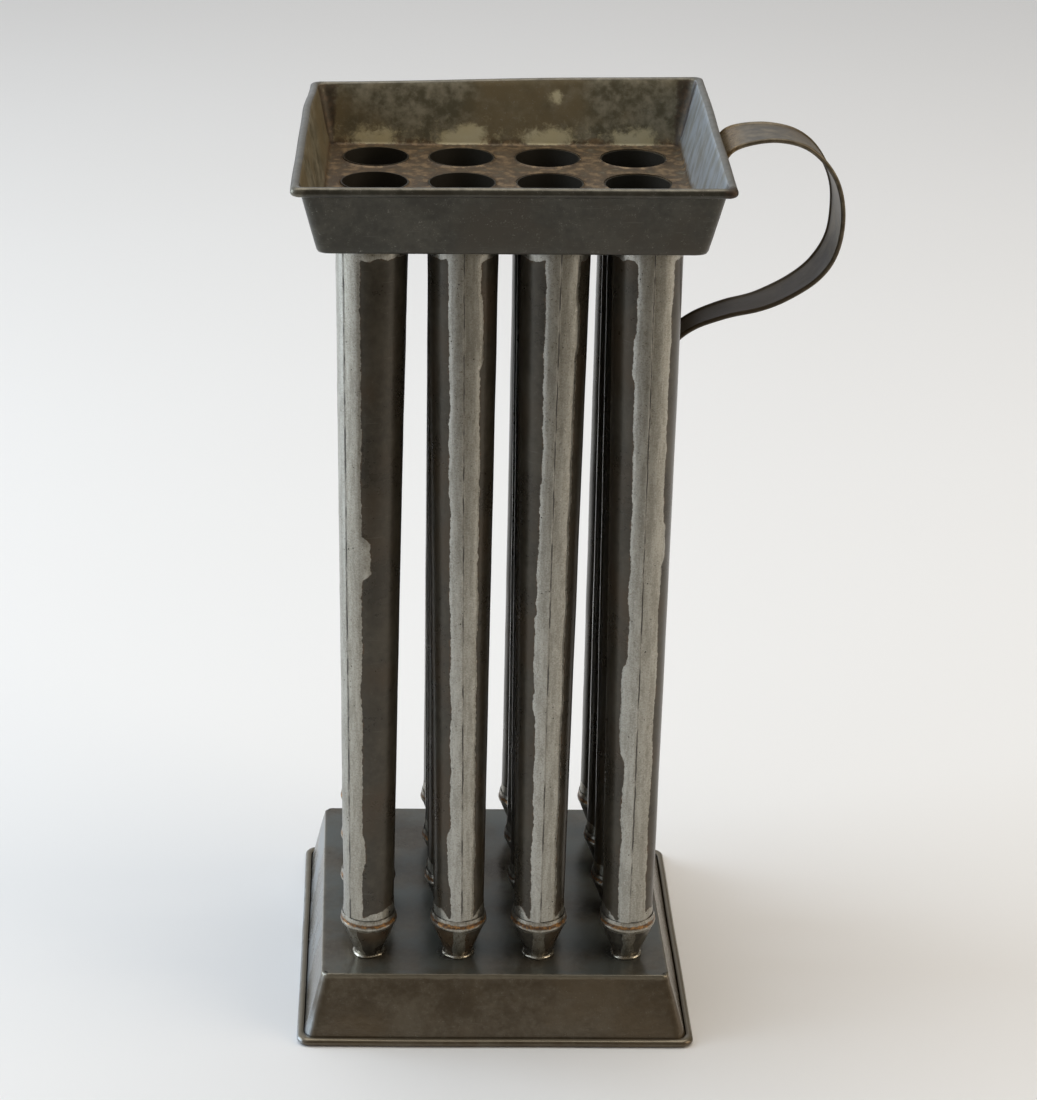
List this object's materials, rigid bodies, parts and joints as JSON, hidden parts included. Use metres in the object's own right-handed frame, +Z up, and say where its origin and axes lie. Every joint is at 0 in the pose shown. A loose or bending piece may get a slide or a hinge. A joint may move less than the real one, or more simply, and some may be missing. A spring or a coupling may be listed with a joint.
{
  "type": "candle mold",
  "caption": "Tinplate candle mold: tapered tubes in a square grid between a flared pouring tray and a splayed base, with a strap handle.",
  "frame": {"origin": "middle of the whole object's footprint, handle included, on the level it stands on", "axes": "+Z up along the tubes, +X towards the strap handle, -Y towards the front"},
  "size_m": [0.1634, 0.126, 0.2825],
  "materials": {
    "tray_tinplate": "aged tinplate, satin, stained with wax and rust round the holes",
    "base_tinplate": "aged tinplate, satin, brown patina",
    "tube_tinplate": "dark aged tinplate with a bright ragged band of solder along the lapped seam",
    "tip_tinplate": "aged tinplate with solder and a rust line at the joint",
    "rim_wire": "dark iron wire inside the rolled rims",
    "strap_tinplate": "aged tinplate strap with folded edges"
  },
  "bodies": {
    "root": {"tray_pan": "tray_tinplate", "tray_rim_wire": "rim_wire", "base_pan": "base_tinplate", "base_rim_wire": "rim_wire", "handle_strap": "strap_tinplate", "tube_r1_c1": "tube_tinplate", "tip_r1_c1": "tip_tinplate", "tube_r1_c2": "tube_tinplate", "tip_r1_c2": "tip_tinplate", "tube_r1_c3": "tube_tinplate", "tip_r1_c3": "tip_tinplate", "tube_r1_c4": "tube_tinplate", "tip_r1_c4": "tip_tinplate", "tube_r2_c1": "tube_tinplate", "tip_r2_c1": "tip_tinplate", "tube_r2_c2": "tube_tinplate", "tip_r2_c2": "tip_tinplate", "tube_r2_c3": "tube_tinplate", "tip_r2_c3": "tip_tinplate", "tube_r2_c4": "tube_tinplate", "tip_r2_c4": "tip_tinplate", "tube_r3_c1": "tube_tinplate", "tip_r3_c1": "tip_tinplate", "tube_r3_c2": "tube_tinplate", "tip_r3_c2": "tip_tinplate", "tube_r3_c3": "tube_tinplate", "tip_r3_c3": "tip_tinplate", "tube_r3_c4": "tube_tinplate", "tip_r3_c4": "tip_tinplate", "tube_r4_c1": "tube_tinplate", "tip_r4_c1": "tip_tinplate", "tube_r4_c2": "tube_tinplate", "tip_r4_c2": "tip_tinplate", "tube_r4_c3": "tube_tinplate", "tip_r4_c3": "tip_tinplate", "tube_r4_c4": "tube_tinplate", "tip_r4_c4": "tip_tinplate"}
  },
  "joints": []
}
